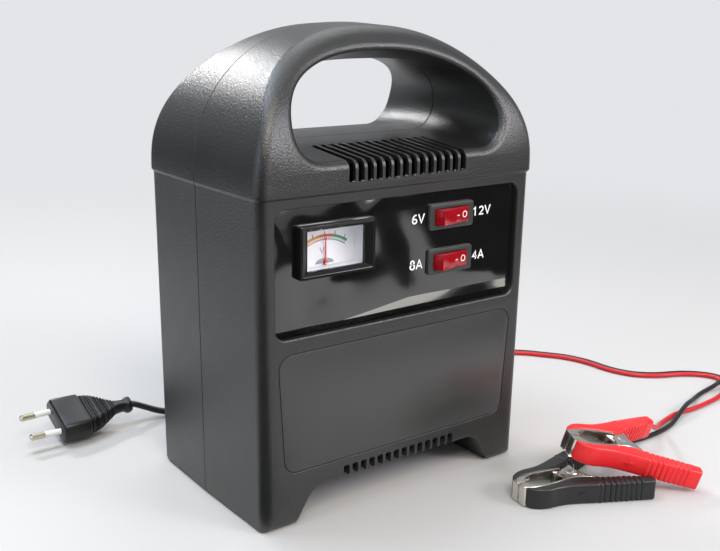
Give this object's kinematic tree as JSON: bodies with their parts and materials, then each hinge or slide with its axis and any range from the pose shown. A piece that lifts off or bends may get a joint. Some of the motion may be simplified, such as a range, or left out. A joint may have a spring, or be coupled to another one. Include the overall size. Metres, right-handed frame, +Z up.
{
  "type": "car battery charger",
  "caption": "Portable battery charger with arched carrying handle, analogue meter, rocker switches, mains lead with flat two-pin plug and clamp-tipped charging lead.",
  "frame": {"origin": "centre of the housing's footprint on the surface it stands on", "axes": "+X to the right seen from the front, +Y to the back, +Z up"},
  "size_m": [0.5083, 0.3379, 0.25],
  "materials": {
    "housing_plastic": "fine-grained moulded ABS",
    "gloss_black": "polished acrylic fascia",
    "label_film": "smooth semi-gloss polycarbonate",
    "bezel_plastic": "black nylon",
    "clear_window": "clear polystyrene",
    "white_plastic": "white polystyrene",
    "movement_metal": "magnet block",
    "needle_red": "painted needle",
    "rocker_red": "translucent polycarbonate",
    "brass_tabs": "tinned brass tabs",
    "core_steel": "varnished laminations",
    "bobbin_plastic": "glass-filled nylon",
    "copper_wire": "enamelled copper",
    "zinc_steel": "zinc plated steel",
    "heatsink_alloy": "folded sheet",
    "nickel_caps": "nickel plate",
    "cord_black": "flexible PVC",
    "sleeve_grey": "nylon sleeve",
    "lead_twin": "twin PVC lead, one core red and one black",
    "lead_red": "red PVC",
    "lead_black": "black PVC",
    "clamp_red": "moulded red plastic",
    "clamp_black": "moulded black plastic",
    "plated_steel": "plated spring steel"
  },
  "bodies": {
    "charger": {"front_shell": "housing_plastic", "rear_shell": "housing_plastic", "housing_screws": "zinc_steel", "control_fascia": "gloss_black", "label_plate": "label_film", "meter_bezel": "bezel_plastic", "meter_window": "clear_window", "meter_case": "white_plastic", "meter_dial": "white_plastic", "meter_movement": "movement_metal", "voltage_switch_body": "bezel_plastic", "voltage_switch_terminals": "brass_tabs", "current_switch_body": "bezel_plastic", "current_switch_terminals": "brass_tabs", "transformer_core": "core_steel", "transformer_bobbin": "bobbin_plastic", "primary_winding": "copper_wire", "secondary_winding": "copper_wire", "transformer_bracket": "zinc_steel", "transformer_screws": "zinc_steel", "heatsink_plate": "heatsink_alloy", "rectifier_diodes": "nickel_caps", "heatsink_screws": "zinc_steel", "thermal_cutout": "bezel_plastic", "mains_strain_relief": "cord_black", "dc_strain_relief": "cord_black", "mains_cord": "cord_black", "mains_coil": "cord_black", "mains_cord_end": "cord_black", "plug_body": "cord_black", "plug_sleeves": "sleeve_grey", "plug_pins": "nickel_caps", "dc_lead": "lead_twin", "dc_coil": "lead_twin", "red_lead": "lead_red", "black_lead": "lead_black", "red_near_grip": "clamp_red", "red_near_jaw": "plated_steel", "red_pivot_pin": "plated_steel", "red_spring": "plated_steel", "black_near_grip": "clamp_black", "black_near_jaw": "plated_steel", "black_pivot_pin": "plated_steel", "black_spring": "plated_steel"},
    "voltage_rocker": {"voltage_rocker": "rocker_red"},
    "current_rocker": {"current_rocker": "rocker_red"},
    "meter_needle": {"meter_needle": "needle_red"},
    "red_far_arm": {"red_far_grip": "clamp_red", "red_far_jaw": "plated_steel"},
    "black_far_arm": {"black_far_grip": "clamp_black", "black_far_jaw": "plated_steel"}
  },
  "joints": [
    {"name": "voltage_rocker_tilt", "type": "hinge", "parent": "charger", "child": "voltage_rocker", "pos_m": [0.032, -0.0533, 0.1516], "axis": [0, 0, -1], "range_deg": [0, 24]},
    {"name": "current_rocker_tilt", "type": "hinge", "parent": "charger", "child": "current_rocker", "pos_m": [0.032, -0.0533, 0.1273], "axis": [0, 0, -1], "range_deg": [0, 24]},
    {"name": "needle_swing", "type": "hinge", "parent": "charger", "child": "meter_needle", "pos_m": [-0.043, -0.0456, 0.1341], "axis": [0, -1, 0], "range_deg": [-40, 40], "stiffness_Nm_per_rad": 0.00005},
    {"name": "red_clamp_open", "type": "hinge", "parent": "charger", "child": "red_far_arm", "pos_m": [0.1123, -0.11441, 0.01929], "axis": [-0.1426, 0.2234, -0.9642], "range_deg": [0, 30], "stiffness_Nm_per_rad": 0.6, "springref_deg": -20.05, "deforming": ["red_spring"]},
    {"name": "black_clamp_open", "type": "hinge", "parent": "charger", "child": "black_far_arm", "pos_m": [0.07831, -0.10875, 0.006], "axis": [0, 0, -1], "range_deg": [0, 30], "stiffness_Nm_per_rad": 0.6, "springref_deg": -20.05, "deforming": ["black_spring"]}
  ]
}
